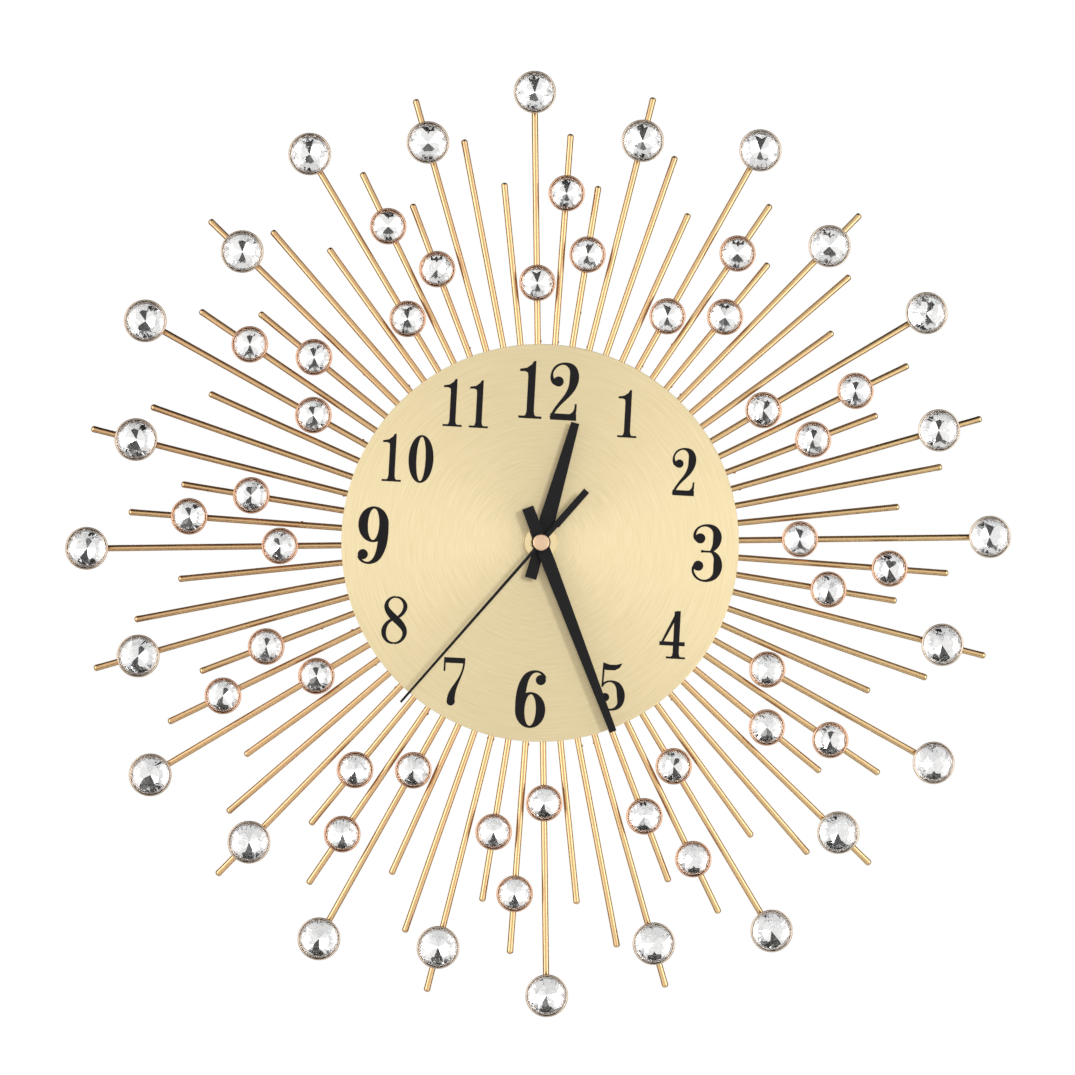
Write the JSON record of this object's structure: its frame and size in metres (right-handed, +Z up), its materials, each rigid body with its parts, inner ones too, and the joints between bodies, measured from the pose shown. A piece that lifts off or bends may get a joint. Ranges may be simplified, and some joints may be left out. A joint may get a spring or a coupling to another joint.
{
  "type": "sunburst wall clock",
  "caption": "Wall clock with a round brushed dial, three straight hands and a sunburst of gold rods carrying faceted stones in round cups, on a battery quartz movement.",
  "frame": {"origin": "where the hands' axis meets the wall, on the back of the movement case", "axes": "+Z up, -Y out of the wall towards the viewer, +X to the viewer's right"},
  "size_m": [0.599, 0.0326, 0.599],
  "materials": {
    "gold_rod": "bright rose-gold plating",
    "gold_cup": "bright rose-gold plating",
    "stone": "cut and foil-backed",
    "dial_gold": "circular brushed, anodised pale gold",
    "dial_ink": "printed",
    "hand_black": "satin black",
    "cap_gold": "satin pale rose gold",
    "back_steel": "gold lacquered sheet",
    "zinc": "zinc plated",
    "brass_part": "turned",
    "case_black": "moulded",
    "gear_white": "moulded",
    "rubber": "matte",
    "board_green": "solder mask",
    "copper_wire": "enamelled winding",
    "battery_wrap": "printed sleeve, plain"
  },
  "bodies": {
    "frame": {"rods_a": "gold_rod", "rods_b": "gold_rod", "rods_c": "gold_rod", "rods_d": "gold_rod", "rods_e": "gold_rod", "rods_f": "gold_rod", "stiffening_ring": "gold_rod", "large_cups": "gold_cup", "small_cups": "gold_cup", "large_stones": "stone", "small_stones": "stone", "dial_face": "dial_gold", "numerals": "dial_ink", "dial_washer": "cap_gold", "backing_disc": "back_steel", "hanger_bracket": "zinc", "hanger_rivets": "zinc", "bridge_screws": "zinc", "stator": "zinc", "quartz_crystal": "zinc", "positive_contact": "zinc", "negative_contact": "zinc", "threaded_bushing": "brass_part", "hex_nut": "brass_part", "movement_case": "case_black", "movement_cover": "case_black", "coil_bobbin": "case_black", "train_bridge": "gear_white", "rubber_gasket": "rubber", "circuit_board": "board_green", "coil_winding": "copper_wire"},
    "second": {"second_hand": "hand_black", "hand_hub": "hand_black", "hub_cap": "cap_gold", "seconds_wheel": "gear_white"},
    "minute": {"minute_hand": "hand_black", "minute_arbor": "gear_white"},
    "hour": {"hour_hand": "hand_black", "hour_wheel": "gear_white"},
    "third": {"third_wheel": "gear_white"},
    "motion": {"motion_wheel": "gear_white", "setting_knob": "case_black"},
    "intermediate": {"intermediate_wheel": "gear_white"},
    "rotor_body": {"rotor": "gear_white"},
    "battery_body": {"battery": "battery_wrap"}
  },
  "joints": [
    {"name": "second_spin", "type": "hinge", "parent": "frame", "child": "second", "pos_m": [0, 0, 0], "axis": [0, 1, 0], "continuous": true},
    {"name": "minute_spin", "type": "hinge", "parent": "frame", "child": "minute", "pos_m": [0, 0, 0], "axis": [0, 1, 0], "continuous": true},
    {"name": "hour_spin", "type": "hinge", "parent": "frame", "child": "hour", "pos_m": [0, 0, 0], "axis": [0, 1, 0], "continuous": true},
    {"name": "third_spin", "type": "hinge", "parent": "frame", "child": "third", "pos_m": [-0.00886, 0, 0.00156], "axis": [0, 1, 0], "continuous": true},
    {"name": "motion_spin", "type": "hinge", "parent": "frame", "child": "motion", "pos_m": [0.00831, 0, 0.0048], "axis": [0, 1, 0], "continuous": true},
    {"name": "intermediate_spin", "type": "hinge", "parent": "frame", "child": "intermediate", "pos_m": [-0.0013, 0, 0.00737], "axis": [0, 1, 0], "continuous": true},
    {"name": "rotor_spin", "type": "hinge", "parent": "frame", "child": "rotor_body", "pos_m": [0.0007, 0, 0.01366], "axis": [0, 1, 0], "continuous": true},
    {"name": "battery_slide", "type": "slide", "parent": "frame", "child": "battery_body", "axis": [0, 1, 0], "range_m": [0, 0.03]}
  ],
  "couplings": [
    {"joint": "minute_spin", "follows": "second_spin", "ratio": 0.016667},
    {"joint": "hour_spin", "follows": "second_spin", "ratio": 0.0013889},
    {"joint": "third_spin", "follows": "second_spin", "ratio": -0.13333},
    {"joint": "motion_spin", "follows": "second_spin", "ratio": -0.0055556},
    {"joint": "intermediate_spin", "follows": "second_spin", "ratio": -7.5},
    {"joint": "rotor_spin", "follows": "second_spin", "ratio": 30}
  ]
}
